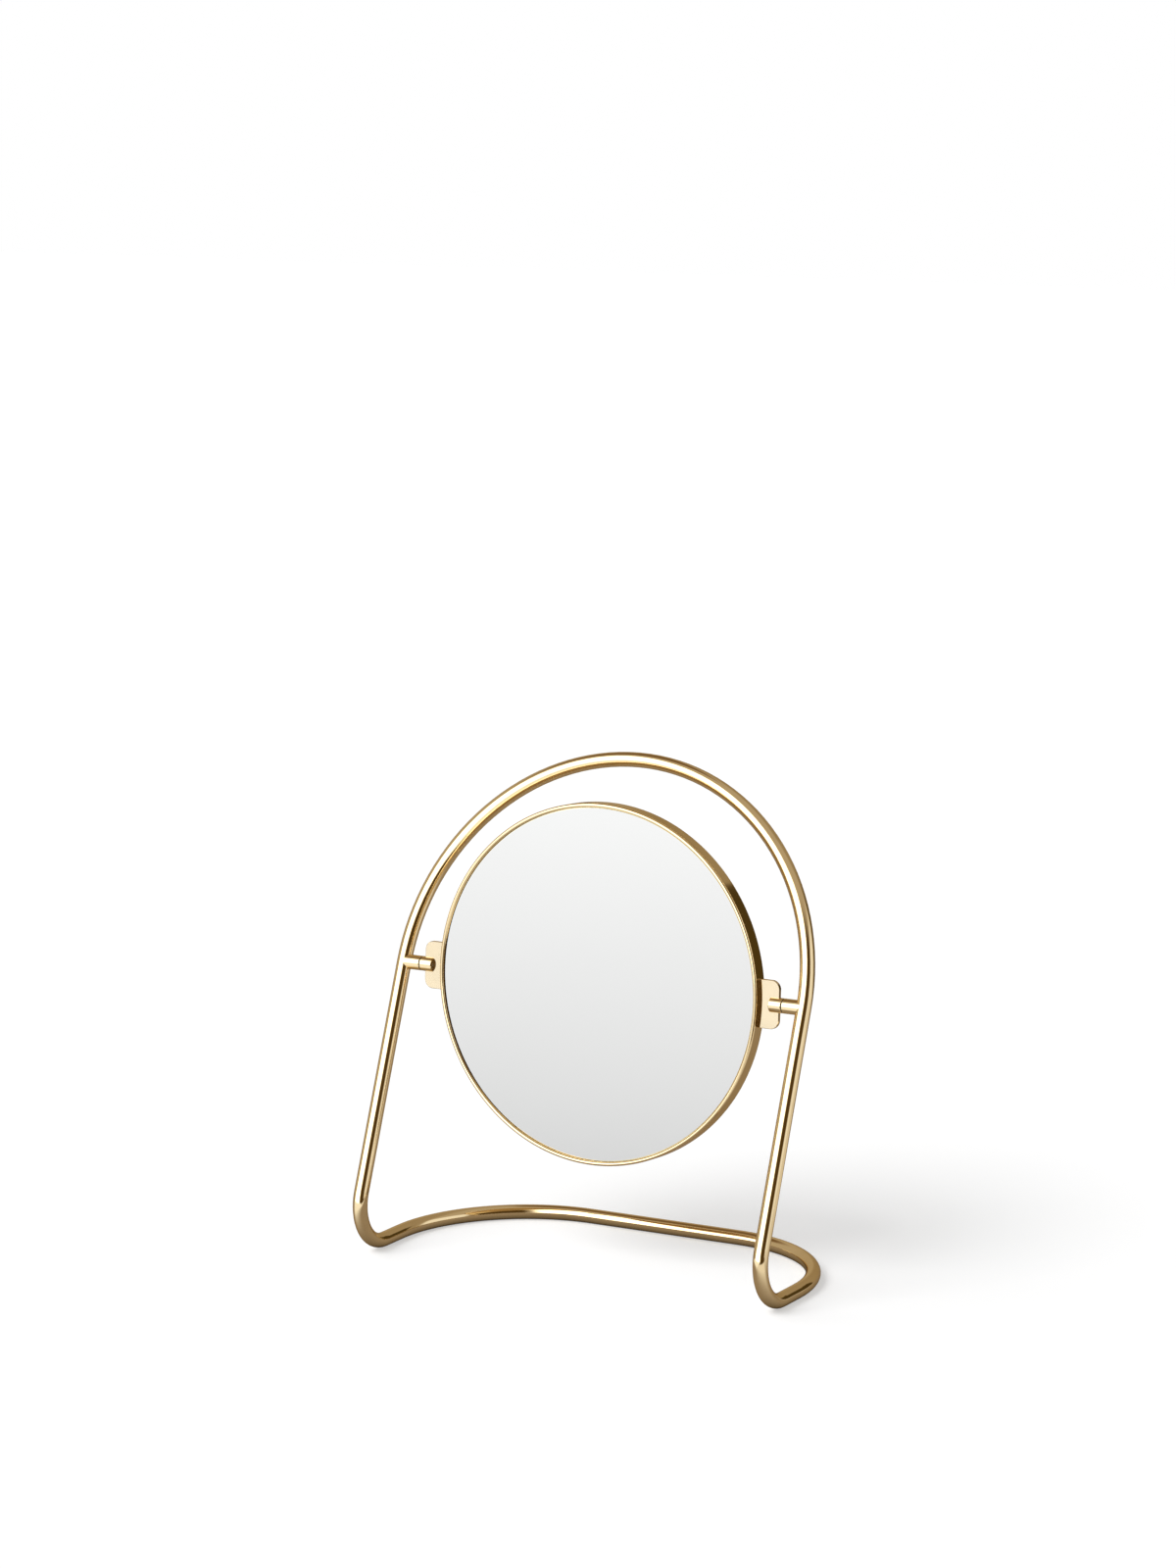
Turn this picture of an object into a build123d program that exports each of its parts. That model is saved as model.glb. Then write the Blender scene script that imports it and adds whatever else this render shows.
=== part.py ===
from build123d import *
import os
from math import cos, radians, sin, tan

# Table mirror: a round mirror that tilts between the legs of a bent brass tube. Millimetres.
# X runs to the viewer's right, Y runs back and Z is up. The origin is on the table, under the
# middle of the object's box.

# Frame: one tube bent into a closed loop
tube_diameter = 8.0
tube_wall = 1.0
leg_half_span = 121.0      # middle of the mirror to a leg's centre line, and the arch's radius
leg_lean = 21.7            # degrees that the legs and the arch lean back
pivot_up_leg = 159.5       # along a leg, from its corner on the table to the pivot
foot_bend = 22.75          # centre-line radius of the tight bend under a leg
base_run = 50.5            # from the same corner straight back to the base's wide bend
base_bend = 75.5           # centre-line radius of the base's two wide bends
joint_length = 30.0        # inner tube that joins the loop's two ends, at the rear
joint_wall = 1.0

# Pivots: places are distances from the middle of the mirror
pivot_diameter = 7.9       # a shade under the tube's, so that the saddles end in a clean edge
stub_start = 109.75
bush_wall = 0.57
bush_length = 5.6
running_clearance = 0.03   # radial, between pin and bush
locating_end = 119.0       # the stub's locating spigot reaches into the tube
bore_bottom = 115.5
washer_thickness = 0.45
washer_diameter = 7.0
sleeve_end = 102.0
sleeve_start = 109.25
pin_diameter = 4.0
pin_end = 102.3
pin_tip = 115.1
turned_chamfer = 0.3
seam_chamfer = 0.2

# Tabs that carry the mirror's rim
tab_reach = 107.2
tab_height = 25.5
tab_thickness = 2.1
tab_corner = 4.8
tab_edge_chamfer = 0.25

# Mirror, front to back: recess, glass, pad, back plate, ledge
mirror_lean = 4.35         # degrees that the mirror leans back at rest
rim_radius = 95.9
rim_wall = 2.2             # its front edge is a full round
rim_depth = 9.8
rim_rear_round = 0.7
ledge_width = 3.0
ledge_thickness = 2.0
glass_recess = 1.6
glass_thickness = 3.0
glass_arris = 0.4
disc_clearance = 0.12
pad_margin = 4.0
pad_thickness = 1.5

# Worked-out sizes
tube_radius = tube_diameter / 2
pivot_radius = pivot_diameter / 2
pin_radius = pin_diameter / 2
bush_bore = pin_radius + running_clearance
bush_radius = bush_bore + bush_wall
bend_setback = foot_bend / tan(radians((90 - leg_lean) / 2))
front_bulge = bend_setback - foot_bend
corner_y = -(front_bulge + base_run + base_bend) / 2
bar_y = corner_y + base_run + base_bend
leg_direction = Vector(0, sin(radians(leg_lean)), cos(radians(leg_lean)))
leg_corner = Vector(leg_half_span, corner_y, tube_radius)
pivot = leg_corner + leg_direction * pivot_up_leg
pivot_place = Pos(0, pivot.Y, pivot.Z)
mirror_place = pivot_place * Rot(X=-mirror_lean)
rim_bore = rim_radius - rim_wall
rim_front = -rim_depth / 2
rim_back = rim_depth / 2
ledge_front = rim_back - ledge_thickness
glass_front = rim_front + glass_recess
glass_back = glass_front + glass_thickness
pad_back = glass_back + pad_thickness


def right_half_of_loop():
    """Centre line from the middle of the rear bar, round the right foot, to the top of the arch."""
    bar_middle = Vector(0, bar_y, tube_radius)
    bar_end = Vector(leg_half_span - base_bend, bar_y, tube_radius)
    run_back = Vector(leg_half_span, corner_y + base_run, tube_radius)
    run_front = Vector(leg_half_span, corner_y + bend_setback, tube_radius)
    bend_centre = run_front + Vector(0, 0, foot_bend)
    bend_middle = bend_centre + (leg_corner - bend_centre).normalized() * foot_bend
    leg_foot = leg_corner + leg_direction * bend_setback
    arch_centre = Vector(0, pivot.Y, pivot.Z)
    arch_top = arch_centre + leg_direction * leg_half_span
    arch_turn = (leg_direction + Vector(1, 0, 0)).normalized() * leg_half_span
    wide_turn = Vector(base_bend, base_bend, 0) * cos(radians(45))
    wide_centre = Vector(leg_half_span - base_bend, corner_y + base_run, tube_radius)
    return Wire([
        Line(bar_middle, bar_end),
        ThreePointArc(bar_end, wide_centre + wide_turn, run_back),
        Line(run_back, run_front),
        ThreePointArc(run_front, bend_middle, leg_foot),
        Line(leg_foot, pivot),
        ThreePointArc(pivot, arch_centre + arch_turn, arch_top),
    ])


def swept_half(section):
    """The section carried along the right half of the loop."""
    start = Plane((0, bar_y, tube_radius), z_dir=(1, 0, 0))
    return sweep(start * section, path=right_half_of_loop())


def left_of(piece):
    """The same piece on the viewer's left."""
    return mirror(piece, about=Plane.YZ)


def turned(*outline):
    """A piece turned about the pivot axis, from corners of (distance from the middle, radius)."""
    profile = make_face(Polyline(*outline, close=True))
    return pivot_place * revolve(profile, Axis.X)


def disc_ring(profile):
    """A ring or disc about the mirror's own axis, from a profile of (radius, depth)."""
    return mirror_place * revolve(profile, Axis.Y)


def frame_tube():
    """The whole bent tube, with a locating hole at each pivot."""
    wall_section = Circle(tube_radius) - Circle(tube_radius - tube_wall)
    half = swept_half(wall_section)
    hole = turned((bore_bottom, 0), (bore_bottom, pin_radius), (leg_half_span, pin_radius), (leg_half_span, 0))
    half -= hole
    return half + left_of(half)


def tube_joint_spigot():
    """Short inner tube that bridges the joint in the rear bar."""
    outer = tube_radius - tube_wall
    section = Circle(outer) - Circle(outer - joint_wall)
    start = Plane((-joint_length / 2, bar_y, tube_radius), z_dir=(1, 0, 0))
    return extrude(start * section, joint_length)


def pivot_stub():
    """Stub coped to the tube, with a bore for the bush and a spigot that locates it in the tube."""
    body = turned(
        (stub_start, bush_radius),
        (stub_start, pivot_radius - seam_chamfer),
        (stub_start + seam_chamfer, pivot_radius),
        (leg_half_span, pivot_radius),
        (leg_half_span, 0),
        (bore_bottom, 0),
        (bore_bottom, bush_radius),
    )
    body -= swept_half(Circle(tube_radius))
    spigot = turned(
        (bore_bottom, 0), (bore_bottom, pin_radius), (locating_end, pin_radius), (locating_end, 0)
    )
    return body + spigot


def pivot_bush():
    """Nylon bush in the stub."""
    bush_end = stub_start + bush_length
    return turned(
        (stub_start, bush_bore), (stub_start, bush_radius), (bush_end, bush_radius), (bush_end, bush_bore)
    )


def pivot_washer():
    """Thin nylon washer in the seam, lying on the stub's face."""
    near = stub_start - washer_thickness
    inner = pin_radius + 0.1
    outer = washer_diameter / 2
    return turned((near, inner), (near, outer), (stub_start, outer), (stub_start, inner))


def pivot_sleeve():
    """Sleeve that turns with the mirror, slotted to straddle the tab."""
    body = turned(
        (sleeve_end, pin_radius),
        (sleeve_end, pivot_radius - turned_chamfer),
        (sleeve_end + turned_chamfer, pivot_radius),
        (sleeve_start - seam_chamfer, pivot_radius),
        (sleeve_start, pivot_radius - seam_chamfer),
        (sleeve_start, pin_radius),
    )
    slot_depth = tab_reach - sleeve_end
    slot = Pos(sleeve_end, 0, 0) * Box(2 * slot_depth, tab_thickness, 2 * pivot_diameter)
    return body - mirror_place * slot


def pivot_pin():
    """Steel pin, pressed into the sleeve and running in the bush."""
    nose = pin_radius - turned_chamfer
    return turned(
        (pin_end, 0),
        (pin_end, nose),
        (pin_end + turned_chamfer, pin_radius),
        (pin_tip - turned_chamfer, pin_radius),
        (pin_tip, nose),
        (pin_tip, 0),
    )


def rim_tab():
    """Flat tab: rounded outer corners, a hollow that fits the rim and a notch round the pin."""
    inner = rim_radius - rim_wall
    width = tab_reach - inner
    outline = Pos(inner + width / 2, 0) * Rectangle(width, tab_height)
    outline = fillet(outline.vertices().group_by(Axis.X)[-1], tab_corner)
    plate = extrude(outline, tab_thickness / 2, both=True)
    rims = plate.edges().filter_by(Plane.XY).filter_by(lambda e: e.center().X > inner + 0.1)
    plate = chamfer(rims, tab_edge_chamfer)
    plate -= Cylinder(rim_radius, 2 * tab_thickness)
    notch_length = tab_reach - pin_end
    plate -= Pos(pin_end + notch_length / 2, 0, 0) * Box(notch_length, pin_diameter, 2 * tab_thickness)
    return mirror_place * Rot(X=90) * plate


def mirror_rim():
    """Hoop with a full round lip in front, a softened rear corner and a ledge behind."""
    lip = rim_wall / 2
    straight_sides = Polyline(
        (rim_radius, rim_front + lip),
        (rim_radius, rim_back),
        (rim_bore - ledge_width, rim_back),
        (rim_bore - ledge_width, ledge_front),
        (rim_bore, ledge_front),
        (rim_bore, rim_front + lip),
    )
    round_lip = ThreePointArc(
        (rim_bore, rim_front + lip), (rim_bore + lip, rim_front), (rim_radius, rim_front + lip)
    )
    section = make_face([*straight_sides.edges(), *round_lip.edges()])
    rear_corner = section.vertices().sort_by(lambda v: v.X + v.Y)[-1]
    return disc_ring(fillet(rear_corner, rim_rear_round))


def mirror_glass():
    """Glass disc with a fine arris round its front edge."""
    radius = rim_bore - disc_clearance
    return disc_ring(make_face(Polyline(
        (0, glass_front),
        (radius - glass_arris, glass_front),
        (radius, glass_front + glass_arris),
        (radius, glass_back),
        (0, glass_back),
        close=True,
    )))


def disc(radius, front, back):
    """Plain disc between two depths in the mirror."""
    return disc_ring(make_face(Polyline((0, front), (radius, front), (radius, back), (0, back), close=True)))


pieces = {
    "frame_tube": frame_tube(),
    "tube_joint_spigot": tube_joint_spigot(),
    "mirror_rim": mirror_rim(),
    "mirror_glass": mirror_glass(),
    "backing_pad": disc(rim_bore - pad_margin, glass_back, pad_back),
    "back_plate": disc(rim_bore - disc_clearance, pad_back, ledge_front),
}
pairs = {
    "pivot_stub": pivot_stub(),
    "pivot_bush": pivot_bush(),
    "pivot_washer": pivot_washer(),
    "pivot_sleeve": pivot_sleeve(),
    "pivot_pin": pivot_pin(),
    "rim_tab": rim_tab(),
}
for name, piece in pairs.items():
    pieces[name + "_right"] = piece
    pieces[name + "_left"] = left_of(piece)

os.makedirs("parts", exist_ok=True)
for name, piece in pieces.items():
    export_step(piece, f"parts/{name}.step")
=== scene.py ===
import math

import bpy
from mathutils import Matrix, Vector


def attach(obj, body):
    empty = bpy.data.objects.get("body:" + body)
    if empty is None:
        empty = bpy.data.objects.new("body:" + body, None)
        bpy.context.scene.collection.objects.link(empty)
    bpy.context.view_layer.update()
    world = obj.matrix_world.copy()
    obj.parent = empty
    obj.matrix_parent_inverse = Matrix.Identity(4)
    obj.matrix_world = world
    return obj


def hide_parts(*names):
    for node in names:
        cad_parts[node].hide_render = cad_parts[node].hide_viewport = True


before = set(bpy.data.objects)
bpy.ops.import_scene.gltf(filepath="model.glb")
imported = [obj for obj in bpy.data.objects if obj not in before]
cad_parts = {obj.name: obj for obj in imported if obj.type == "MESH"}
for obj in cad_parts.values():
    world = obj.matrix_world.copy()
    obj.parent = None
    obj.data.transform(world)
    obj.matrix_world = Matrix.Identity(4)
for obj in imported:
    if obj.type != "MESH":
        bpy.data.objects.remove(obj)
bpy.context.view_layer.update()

# Camera, where the photo was taken from: metres and degrees
CAMERA_TARGET = Vector((0.0112, -0.0384, 0.2647))
CAMERA_DISTANCE = 2.486
CAMERA_AZIMUTH = 30.24
CAMERA_ELEVATION = 10.38
CAMERA_ROLL = -0.58
CAMERA_LENS_MM = 110.9
SENSOR_MM = 36.0

# Metal, glass and plastic colours
BRASS = (0.95, 0.77, 0.47, 1.0)
# The tabs' brass is paler than the rest: a painted highlight, standing in for how bright light washes out
# their colour
PAINTED_HIGHLIGHT_BRASS = (0.93, 0.79, 0.56, 1.0)
RAW_BRASS = (0.72, 0.55, 0.30, 1.0)
BRASS_EDGE = (0.86, 0.76, 0.58, 1.0)
STEEL = (0.60, 0.60, 0.62, 1.0)
SILVER = (0.90, 0.905, 0.90, 1.0)
GLASS_EDGE = (0.93, 0.95, 0.94, 1.0)
NYLON = (0.030, 0.026, 0.022, 1.0)
FOAM = (0.75, 0.75, 0.73, 1.0)
BLACK = (0.0, 0.0, 0.0, 1.0)
WHITE = (1.0, 1.0, 1.0, 1.0)

# How rough each finish is
POLISHED_ROUGHNESS = 0.08
TAB_ROUGHNESS = 0.10
SPUN_ROUGHNESS = 0.18
RAW_ROUGHNESS = 0.35
STEEL_ROUGHNESS = 0.25
NYLON_ROUGHNESS = 0.5
FOAM_ROUGHNESS = 0.9

# Noise in the finishes: its scale per metre and its detail
CLOUDS = (60.0, 5.0)
GRAIN = (900.0, 3.0)
SPUN_STAINS = (35.0, 4.0)
SILVER_CLOUDS = (14.0, 3.0)
NYLON_TEXTURE = (2500.0, 3.0)
FOAM_TEXTURE = (1500.0, 3.0)
RING_SCALE = 2600.0
# Tints: from where to where the noise darkens the colour, and the darker shade's share of it
CLOUD_TINT = (0.45, 0.75, 0.94)
SPUN_TINT = (0.4, 0.8, 0.93)
SILVER_TINT = (0.4, 0.7, 0.994)
PLASTIC_TINT = (0.4, 0.7, 0.8)
# Bumps: strength, and height in metres
WAVES = (0.02, 0.0005)
RING_BUMP = (0.12, 0.0002)
PLASTIC_BUMP = (0.2, 0.0002)
# Roughness that varies: from where to where the noise counts, and what it takes off and adds
POLISH_WEAR = (0.7, 1.3, 0.01, 0.01)
RING_WEAR = (0.3, 0.7, 0.05, 0.07)

# The mirror's place in metres, its lean in degrees, and the line where the silver ends
MIRROR_CENTRE = (0.0, -0.009421, 0.152197)
MIRROR_LEAN = 4.35
SILVER_RADIUS = 0.0932
SILVER_LINE = 0.0008

# The rim's section, as in the CAD, in metres
RIM_RADIUS = 0.0959
RIM_WALL = 0.0022
RIM_HALF_DEPTH = 0.0049
RIM_REAR_ROUND = 0.0007
LEDGE_WIDTH = 0.003
LEDGE_THICKNESS = 0.002
# How finely it is turned: steps round the mirror, round the lip and round the rear corner.
# Narrow strips beside the rounds keep the flats' shading flat. Bends over 30 degrees stay sharp.
RIM_TURNS = 360
LIP_STEPS = 16
REAR_STEPS = 6
FLAT_MARGIN = 0.0002
SHARP_EDGE = 30.0

# Studio, as polished metal sees it. Azimuth 0 is towards -Y and 90 towards +X, in degrees.
# Each zone has its azimuths, its elevations, the widths of its soft edges and its light.
ROOM_LIGHT = (0.46, 0.39, 0.30)
ROOM_ZONES = (
    ("rear", (128.0, 205.0), (-20.0, 62.0), (16.0, 16.0), (0.34, 0.27, 0.18)),
    ("rear_flag", (141.0, 165.5), (-20.0, 22.0), (2.0, 1.5), (0.07, 0.045, 0.012)),
    ("upper_left_rear", (-152.0, -84.0), (38.0, 80.0), (14.0, 12.0), (0.18, 0.11, 0.05)),
    ("right_reflector", (77.0, 124.0), (-20.0, 33.0), (9.0, 12.0), (0.90, 0.89, 0.88)),
    ("camera_side", (24.0, 74.0), (-20.0, 46.0), (10.0, 16.0), (0.08, 0.046, 0.012)),
    ("key_softbox", (-54.0, 16.0), (-20.0, 50.0), (14.0, 10.0), (2.6, 2.6, 2.6)),
)
# The table top, as polished metal sees it, painted with light and shade: azimuths, distances in metres,
# soft edges and light
# Its base light, where no zone lies, is dim; near the object it is the object's painted shadow
TABLE_SHADED_LIGHT = (0.31, 0.25, 0.19)
PAINTED_TABLE_ZONES = (
    ("front", (-64.0, 24.0), (0.17, 20.0), (14.0, 0.10), (1.05, 1.05, 1.05)),
    ("front_right_near", (20.0, 80.0), (0.17, 0.42), (14.0, 0.10), (0.85, 0.82, 0.78)),
    ("camera_side", (24.0, 76.0), (0.42, 20.0), (10.0, 0.12), (0.08, 0.046, 0.012)),
    ("right", (80.0, 134.0), (0.22, 20.0), (12.0, 0.16), (0.72, 0.68, 0.64)),
    ("rear_flag", (141.0, 165.5), (0.75, 20.0), (2.0, 0.30), (0.07, 0.045, 0.012)),
)
# The same table top in the mirror, painted with light that makes it paler with distance
TABLE_NEAR = 0.45
TABLE_FAR = 4.3
TABLE_NEAR_LEVEL = 0.745
TABLE_FAR_LEVEL = 1.035
ROOM_TOP_LEVEL = 0.85
ZENITH = 90.0
# A glossy depth below this is the first reflection
SECOND_REFLECTION = 1.5

# Lamps: azimuth, elevation, how wide each looks, all in degrees, and its light on the table top
LAMPS = (
    ("key_lamp", -21.0, 46.0, 32.0, 0.49),
    ("left_lamp", -75.0, 38.0, 54.0, 0.27),
)
AMBIENT = 0.27

# The table top: its side in metres, its colour, its light in full lamps, what the camera's view adds,
# and how near a piece a painted contact shadow darkens the top that the brass shows, in metres
TABLE_SIZE = 12.0
TABLE_COLOUR = (0.54, 0.54, 0.54, 1.0)
TABLE_LIT = 0.556
TABLE_FILL = 0.482
CONTACT_SHADOW_REACH = 0.03
CONTACT_SHADOW_SAMPLES = 4


class Nodes:
    """Short ways to add shader nodes to one tree."""

    def __init__(self, tree):
        self.tree = tree
        tree.nodes.clear()

    def add(self, kind, **settings):
        node = self.tree.nodes.new(kind)
        for name, value in settings.items():
            setattr(node, name, value)
        return node

    def link(self, source, target):
        self.tree.links.new(source, target)

    def put(self, socket, value):
        """Links a socket or sets a plain value."""
        if isinstance(value, bpy.types.NodeSocket):
            self.link(value, socket)
        else:
            socket.default_value = value

    def math(self, operation, *values):
        """The result of a Math node on plain values or sockets."""
        node = self.add("ShaderNodeMath", operation=operation)
        for socket, value in zip(node.inputs, values):
            self.put(socket, value)
        return node.outputs[0]

    def remap(self, value, low, high, to_low=0.0, to_high=1.0, smooth=True):
        """Takes a value from one range to another, and holds it at the ends."""
        kind = "SMOOTHSTEP" if smooth else "LINEAR"
        node = self.add("ShaderNodeMapRange", interpolation_type=kind)
        for socket, number in zip(node.inputs, (value, low, high, to_low, to_high)):
            self.put(socket, number)
        return node.outputs[0]

    def mix(self, factor, first, second):
        """Mixes two colours. The Mix node keeps them in sockets 6 and 7, and their mix in output 2."""
        node = self.add("ShaderNodeMix", data_type="RGBA")
        self.put(node.inputs[0], factor)
        self.put(node.inputs[6], first)
        self.put(node.inputs[7], second)
        return node.outputs[2]

    def mix_shaders(self, factor, first, second):
        node = self.add("ShaderNodeMixShader")
        self.put(node.inputs[0], factor)
        self.link(first, node.inputs[1])
        self.link(second, node.inputs[2])
        return node.outputs[0]

    def noise(self, place, scale, detail):
        """Cloudy noise, from 0 to 1 and mostly near the middle."""
        node = self.add("ShaderNodeTexNoise")
        self.link(place, node.inputs["Vector"])
        node.inputs["Scale"].default_value = scale
        node.inputs["Detail"].default_value = detail
        return node.outputs[0]

    def bump(self, height, strength, distance):
        node = self.add("ShaderNodeBump")
        node.inputs["Strength"].default_value = strength
        node.inputs["Distance"].default_value = distance
        self.link(height, node.inputs["Height"])
        return node.outputs[0]

    def tinted(self, colour, factor, low, high, shade):
        """A colour that falls to a darker shade of itself where the factor rises from low to high."""
        darker = tuple(level * shade for level in colour[:3])
        return self.mix(self.remap(factor, low, high), colour, (*darker, 1.0))

    def mirror_view(self):
        """1 for what is seen straight in the mirror glass. What the brass shows goes by the zones."""
        path = self.add("ShaderNodeLightPath")
        first = self.math("LESS_THAN", path.outputs["Glossy Depth"], SECOND_REFLECTION)
        return self.math("MULTIPLY", path.outputs["Is Singular Ray"], first)

    def length(self, vector):
        node = self.add("ShaderNodeVectorMath", operation="LENGTH")
        self.link(vector, node.inputs[0])
        return node.outputs["Value"]

    def azimuth(self, across, forward):
        """Degrees from -Y towards +X, from the X and Y of a direction or place."""
        front = self.math("MULTIPLY", forward, -1.0)
        return self.math("DEGREES", self.math("ARCTAN2", across, front))

    def zone(self, azimuth, other, across, span, soft):
        """1 inside a zone, falling softly to 0 at its edges."""
        centre = sum(across) / 2
        half = (across[1] - across[0]) / 2
        turn = self.math("WRAP", self.math("SUBTRACT", azimuth, centre), 180.0, -180.0)
        off = self.math("ABSOLUTE", turn)
        side = self.remap(off, half + soft[0] / 2, half - soft[0] / 2)
        low = self.remap(other, span[0] - soft[1] / 2, span[0] + soft[1] / 2)
        high = self.remap(other, span[1] + soft[1] / 2, span[1] - soft[1] / 2)
        return self.math("MULTIPLY", side, self.math("MULTIPLY", low, high))

    def zones(self, base, azimuth, other, zones):
        """The colour of a base with zones laid over it."""
        colour = (*base, 1.0)
        for _, across, span, soft, light in zones:
            colour = self.mix(self.zone(azimuth, other, across, span, soft), colour, (*light, 1.0))
        return colour


def material(name):
    """A new material and its nodes."""
    made = bpy.data.materials.new(name)
    made.use_nodes = True
    return made, Nodes(made.node_tree)


def finish_surface(nodes, shader, bump=None):
    """Links a shader to the material's surface, and a bump to the shader."""
    out = nodes.add("ShaderNodeOutputMaterial")
    nodes.link(shader.outputs[0], out.inputs["Surface"])
    if bump is not None:
        nodes.link(bump, shader.inputs["Normal"])


def metal(name, edge):
    """An empty metal material, its nodes, its shader and the place on the piece."""
    made, nodes = material(name)
    shader = nodes.add("ShaderNodeBsdfPrincipled")
    shader.inputs["Metallic"].default_value = 1.0
    shader.inputs["Specular Tint"].default_value = edge
    place = nodes.add("ShaderNodeTexCoord").outputs["Object"]
    return made, nodes, shader, place


def polished_metal(name, colour, roughness, edge=BRASS_EDGE):
    """Polished metal: faint clouds in its polish and tint, fine grain and slightly wavy surface."""
    made, nodes, shader, place = metal(name, edge)
    cloud = nodes.noise(place, *CLOUDS)
    grain = nodes.noise(place, *GRAIN)
    nodes.link(nodes.tinted(colour, cloud, *CLOUD_TINT), shader.inputs["Base Color"])
    both = nodes.math("ADD", cloud, grain)
    low, high, less, more = POLISH_WEAR
    worn = nodes.remap(both, low, high, roughness - less, roughness + more, smooth=False)
    nodes.link(worn, shader.inputs["Roughness"])
    finish_surface(nodes, shader, nodes.bump(cloud, *WAVES))
    return made


def from_mirror_axis(nodes, place):
    """Distance from the mirror's own axis, in metres."""
    centred = nodes.add("ShaderNodeVectorMath", operation="SUBTRACT")
    nodes.link(place, centred.inputs[0])
    centred.inputs[1].default_value = MIRROR_CENTRE
    upright = nodes.add("ShaderNodeVectorRotate", rotation_type="X_AXIS")
    nodes.link(centred.outputs[0], upright.inputs["Vector"])
    upright.inputs["Angle"].default_value = math.radians(MIRROR_LEAN)
    flat = nodes.add("ShaderNodeVectorMath", operation="MULTIPLY")
    nodes.link(upright.outputs[0], flat.inputs[0])
    flat.inputs[1].default_value = (1.0, 0.0, 1.0)
    return nodes.length(flat.outputs[0])


def spun_metal(name, colour, roughness):
    """Sheet metal spun round the mirror's axis: fine rings, and stains that come and go."""
    made, nodes, shader, place = metal(name, BRASS_EDGE)
    stain = nodes.noise(place, *SPUN_STAINS)
    rings = nodes.add("ShaderNodeTexNoise", noise_dimensions="1D")
    nodes.link(from_mirror_axis(nodes, place), rings.inputs["W"])
    rings.inputs["Scale"].default_value = RING_SCALE
    nodes.link(nodes.tinted(colour, stain, *SPUN_TINT), shader.inputs["Base Color"])
    low, high, less, more = RING_WEAR
    ringed = nodes.remap(rings.outputs[0], low, high, roughness - less, roughness + more)
    nodes.link(ringed, shader.inputs["Roughness"])
    finish_surface(nodes, shader, nodes.bump(rings.outputs[0], *RING_BUMP))
    return made


def plain_solid(name, colour, roughness, texture_size):
    """Moulded nylon or foam: a fine surface texture and slightly uneven colour."""
    made, nodes = material(name)
    shader = nodes.add("ShaderNodeBsdfPrincipled")
    place = nodes.add("ShaderNodeTexCoord").outputs["Object"]
    texture = nodes.noise(place, *texture_size)
    nodes.link(nodes.tinted(colour, texture, *PLASTIC_TINT), shader.inputs["Base Color"])
    shader.inputs["Roughness"].default_value = roughness
    finish_surface(nodes, shader, nodes.bump(texture, *PLASTIC_BUMP))
    return made


def mirror_glass():
    """Silvered glass: a smooth mirror, its tint faintly uneven, with a paler line at its edge."""
    made, nodes, shader, place = metal("silvered_glass", SILVER)
    silver = nodes.tinted(SILVER, nodes.noise(place, *SILVER_CLOUDS), *SILVER_TINT)
    away = from_mirror_axis(nodes, place)
    line = nodes.remap(away, SILVER_RADIUS - SILVER_LINE, SILVER_RADIUS)
    nodes.link(nodes.mix(line, silver, GLASS_EDGE), shader.inputs["Base Color"])
    shader.inputs["Roughness"].default_value = 0.0
    finish_surface(nodes, shader)
    return made


def arc(radius, depth, size, first, last, steps):
    """Points round an arc of the section, in degrees from outwards towards the rear."""
    points = []
    for step in range(steps + 1):
        turn = math.radians(first + (last - first) * step / steps)
        points.append((radius + size * math.cos(turn), depth + size * math.sin(turn)))
    return points


def rim_section():
    """The rim's section as (radius, depth): full round lip, rear round, ledge, and back up the bore."""
    lip = RIM_WALL / 2
    bore = RIM_RADIUS - RIM_WALL
    lip_depth = lip - RIM_HALF_DEPTH
    round_radius = RIM_RADIUS - RIM_REAR_ROUND
    round_depth = RIM_HALF_DEPTH - RIM_REAR_ROUND
    ledge_depth = RIM_HALF_DEPTH - LEDGE_THICKNESS
    return [
        *arc(bore + lip, lip_depth, lip, -180.0, 0.0, LIP_STEPS),
        (RIM_RADIUS, lip_depth + FLAT_MARGIN),
        (RIM_RADIUS, round_depth - FLAT_MARGIN),
        *arc(round_radius, round_depth, RIM_REAR_ROUND, 0.0, 90.0, REAR_STEPS),
        (round_radius - FLAT_MARGIN, RIM_HALF_DEPTH),
        (bore - LEDGE_WIDTH, RIM_HALF_DEPTH),
        (bore - LEDGE_WIDTH, ledge_depth),
        (bore, ledge_depth),
        (bore, lip_depth + FLAT_MARGIN),
    ]


def turned_places(section):
    """The section's points at every step round the mirror's axis."""
    lean = math.radians(MIRROR_LEAN)
    behind = Vector((0.0, math.cos(lean), -math.sin(lean)))
    above = Vector((0.0, math.sin(lean), math.cos(lean)))
    places = []
    for step in range(RIM_TURNS):
        turn = math.tau * step / RIM_TURNS
        outward = Vector((math.cos(turn), 0.0, 0.0)) + above * math.sin(turn)
        for radius, depth in section:
            places.append(Vector(MIRROR_CENTRE) + outward * radius + behind * depth)
    return places


def turned_faces(count):
    """Faces between every step and the next, for a section with this many points."""
    faces = []
    for step in range(RIM_TURNS):
        here = step * count
        there = (step + 1) % RIM_TURNS * count
        for point in range(count):
            after = (point + 1) % count
            faces.append((here + point, here + after, there + after, there + point))
    return faces


def turned_rim(finish):
    """The same rim as in the CAD, in even steps, so that its round lip reflects smoothly."""
    section = rim_section()
    mesh = bpy.data.meshes.new("mirror_rim_turned")
    mesh.from_pydata(turned_places(section), [], turned_faces(len(section)))
    mesh.shade_smooth()
    mesh.set_sharp_from_angle(angle=math.radians(SHARP_EDGE))
    mesh.materials.append(finish)
    piece = bpy.data.objects.new("mirror_rim_turned", mesh)
    bpy.context.scene.collection.objects.link(piece)
    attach(piece, "mirror")
    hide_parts("mirror_rim")


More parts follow.
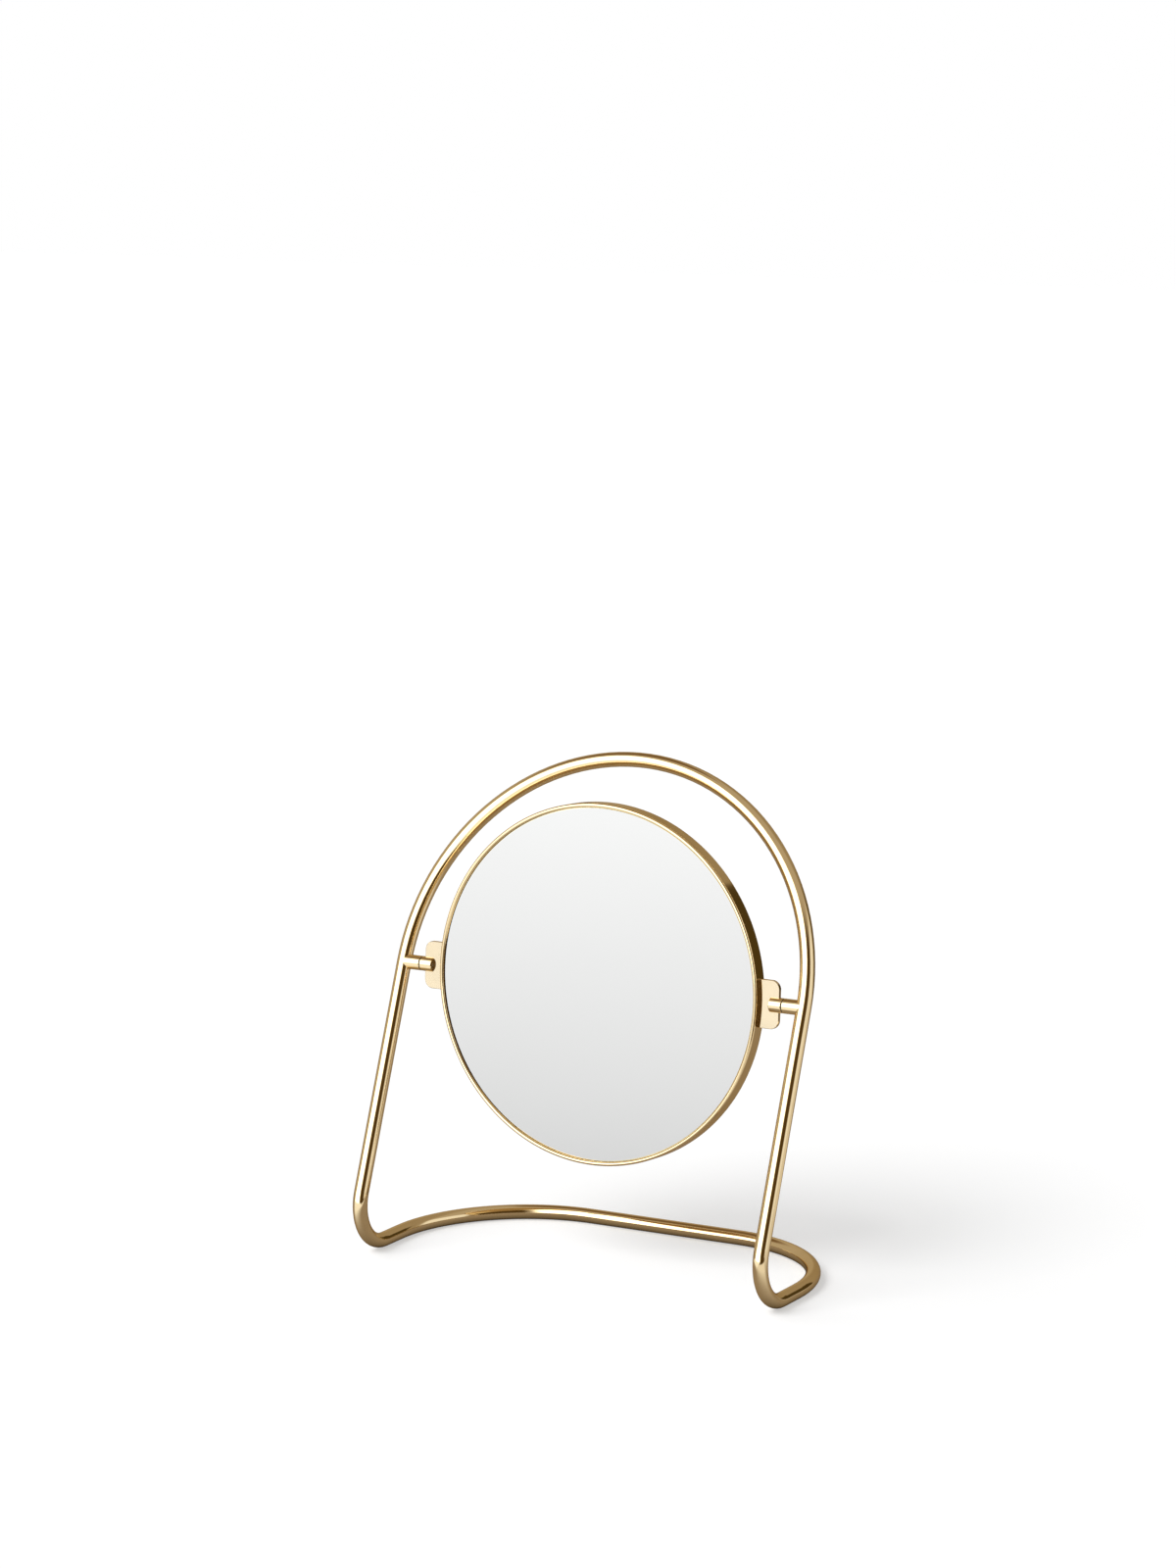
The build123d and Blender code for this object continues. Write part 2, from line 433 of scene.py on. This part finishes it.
def dress_nodes():
    """Gives every CAD node its finish, and the rim its finely turned stand-in."""
    polished = polished_metal("polished_brass", BRASS, POLISHED_ROUGHNESS)
    # The tabs take the paler brass, a painted highlight
    tab = polished_metal("tab_brass_painted_highlight", PAINTED_HIGHLIGHT_BRASS, TAB_ROUGHNESS)
    back = spun_metal("back_brass", BRASS, SPUN_ROUGHNESS)
    raw = polished_metal("raw_brass", RAW_BRASS, RAW_ROUGHNESS)
    steel = polished_metal("pin_steel", STEEL, STEEL_ROUGHNESS, edge=STEEL)
    nylon = plain_solid("nylon", NYLON, NYLON_ROUGHNESS, NYLON_TEXTURE)
    foam = plain_solid("foam_pad", FOAM, FOAM_ROUGHNESS, FOAM_TEXTURE)
    glass = mirror_glass()
    finishes = {
        "frame_tube": polished,
        "tube_joint_spigot": raw,
        "mirror_rim": polished,
        "mirror_glass": glass,
        "backing_pad": foam,
        "back_plate": back,
    }
    for side in ("left", "right"):
        finishes["pivot_stub_" + side] = polished
        finishes["pivot_sleeve_" + side] = polished
        finishes["rim_tab_" + side] = tab
        finishes["pivot_bush_" + side] = nylon
        finishes["pivot_washer_" + side] = nylon
        finishes["pivot_pin_" + side] = steel
    for node, finish in finishes.items():
        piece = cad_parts[node]
        piece.data.materials.clear()
        piece.data.materials.append(finish)
    turned_rim(polished)


def studio_world():
    """White to the camera, a pale room to the mirror, zones to polished metal, even light to the rest."""
    world = bpy.data.worlds.new("studio")
    bpy.context.scene.world = world
    world.use_nodes = True
    nodes = Nodes(world.node_tree)
    path = nodes.add("ShaderNodeLightPath")
    direction = nodes.add("ShaderNodeTexCoord").outputs["Generated"]
    split = nodes.add("ShaderNodeSeparateXYZ")
    nodes.link(direction, split.inputs[0])
    azimuth = nodes.azimuth(split.outputs["X"], split.outputs["Y"])
    elevation = nodes.math("DEGREES", nodes.math("ARCSINE", split.outputs["Z"]))
    room = nodes.zones(ROOM_LIGHT, azimuth, elevation, ROOM_ZONES)
    level = nodes.remap(elevation, 0.0, ZENITH, TABLE_FAR_LEVEL, ROOM_TOP_LEVEL, smooth=False)
    pale_room = nodes.mix(level, BLACK, WHITE)
    ambient = (AMBIENT, AMBIENT, AMBIENT, 1.0)
    seen = nodes.math("MAXIMUM", path.outputs["Is Camera Ray"], path.outputs["Is Transmission Ray"])
    colour = nodes.mix(path.outputs["Is Glossy Ray"], ambient, room)
    colour = nodes.mix(nodes.mirror_view(), colour, pale_room)
    colour = nodes.mix(seen, colour, WHITE)
    background = nodes.add("ShaderNodeBackground")
    nodes.link(colour, background.inputs["Color"])
    out = nodes.add("ShaderNodeOutputWorld")
    nodes.link(background.outputs[0], out.inputs["Surface"])


def lit_table(nodes, distance):
    """The table top with its shadows, brought up to white for the camera, and painted paler with distance
    for the mirror.
    """
    path = nodes.add("ShaderNodeLightPath")
    diffuse = nodes.add("ShaderNodeBsdfDiffuse")
    diffuse.inputs["Color"].default_value = TABLE_COLOUR
    # Painted light: the table glows paler with distance, for the mirror only
    far = nodes.math("LOGARITHM", distance, math.e)
    near_fill = TABLE_NEAR_LEVEL - TABLE_LIT
    far_fill = TABLE_FAR_LEVEL - TABLE_LIT
    paler = nodes.remap(far, math.log(TABLE_NEAR), math.log(TABLE_FAR), near_fill, far_fill, smooth=False)
    mirror_painted_light = nodes.math("MULTIPLY", nodes.mirror_view(), paler)
    camera_fill = nodes.math("MULTIPLY", path.outputs["Is Camera Ray"], TABLE_FILL)
    fill = nodes.add("ShaderNodeEmission")
    nodes.link(nodes.math("ADD", mirror_painted_light, camera_fill), fill.inputs["Strength"])
    lit = nodes.add("ShaderNodeAddShader")
    nodes.link(diffuse.outputs[0], lit.inputs[0])
    nodes.link(fill.outputs[0], lit.inputs[1])
    return lit.outputs[0]


def painted_table_zones(nodes, place, distance):
    """Painted light and shade on the table top that polished metal sees, with a painted contact shadow
    close to the object.
    """
    split = nodes.add("ShaderNodeSeparateXYZ")
    nodes.link(place, split.inputs[0])
    azimuth = nodes.azimuth(split.outputs["X"], split.outputs["Y"])
    # Painted contact shadow: the table's zones grow darker where a piece is near
    painted_contact_shadow = nodes.add("ShaderNodeAmbientOcclusion", samples=CONTACT_SHADOW_SAMPLES)
    painted_contact_shadow.inputs["Distance"].default_value = CONTACT_SHADOW_REACH
    nodes.link(nodes.zones(TABLE_SHADED_LIGHT, azimuth, distance, PAINTED_TABLE_ZONES), painted_contact_shadow.inputs["Color"])
    zones = nodes.add("ShaderNodeEmission")
    nodes.link(painted_contact_shadow.outputs["Color"], zones.inputs["Color"])
    return zones.outputs[0]


def table_top():
    """White to the camera, with the object's shadow; painted light, paler with distance, in the mirror;
    painted zones of light and shade to metal.
    """
    bpy.ops.mesh.primitive_plane_add(size=TABLE_SIZE)
    plane = bpy.context.object
    plane.name = "table_top"
    made, nodes = material("table_top")
    place = nodes.add("ShaderNodeTexCoord").outputs["Object"]
    distance = nodes.length(place)
    lit = lit_table(nodes, distance)
    zones = painted_table_zones(nodes, place, distance)
    path = nodes.add("ShaderNodeLightPath")
    metal_view = nodes.math("SUBTRACT", path.outputs["Is Glossy Ray"], nodes.mirror_view())
    out = nodes.add("ShaderNodeOutputMaterial")
    nodes.link(nodes.mix_shaders(metal_view, lit, zones), out.inputs["Surface"])
    plane.data.materials.append(made)


def direction_to(azimuth, elevation):
    """Unit vector from the object towards a place in the studio."""
    turn = math.radians(azimuth)
    rise = math.radians(elevation)
    return Vector((math.sin(turn) * math.cos(rise), -math.cos(turn) * math.cos(rise), math.sin(rise)))


def lamp(name, azimuth, elevation, spread, level):
    """Wide far lamp that casts the object's soft shadow. Metal sees the zones in its place."""
    data = bpy.data.lights.new(name, "SUN")
    data.angle = math.radians(spread)
    data.energy = level * math.pi / math.sin(math.radians(elevation))
    far_lamp = bpy.data.objects.new(name, data)
    far_lamp.rotation_euler = direction_to(azimuth, elevation).to_track_quat("Z", "Y").to_euler()
    far_lamp.visible_glossy = False
    bpy.context.scene.collection.objects.link(far_lamp)


def photo_camera():
    """The camera as fitted to the photo, rolled slightly about its own line of view."""
    back = direction_to(CAMERA_AZIMUTH, CAMERA_ELEVATION)
    level = (-back).cross(Vector((0, 0, 1))).normalized()
    up = level.cross(-back)
    roll = math.radians(CAMERA_ROLL)
    right = level * math.cos(roll) + up * math.sin(roll)
    top = up * math.cos(roll) - level * math.sin(roll)
    data = bpy.data.cameras.new("photo_camera")
    data.lens = CAMERA_LENS_MM
    data.sensor_width = SENSOR_MM
    camera = bpy.data.objects.new("photo_camera", data)
    bpy.context.scene.collection.objects.link(camera)
    axes = Matrix((right, top, back)).transposed().to_4x4()
    camera.matrix_world = Matrix.Translation(CAMERA_TARGET + back * CAMERA_DISTANCE) @ axes
    bpy.context.scene.camera = camera


dress_nodes()
studio_world()
table_top()
for settings in LAMPS:
    lamp(*settings)
photo_camera()
bpy.context.scene.view_settings.view_transform = "Standard"
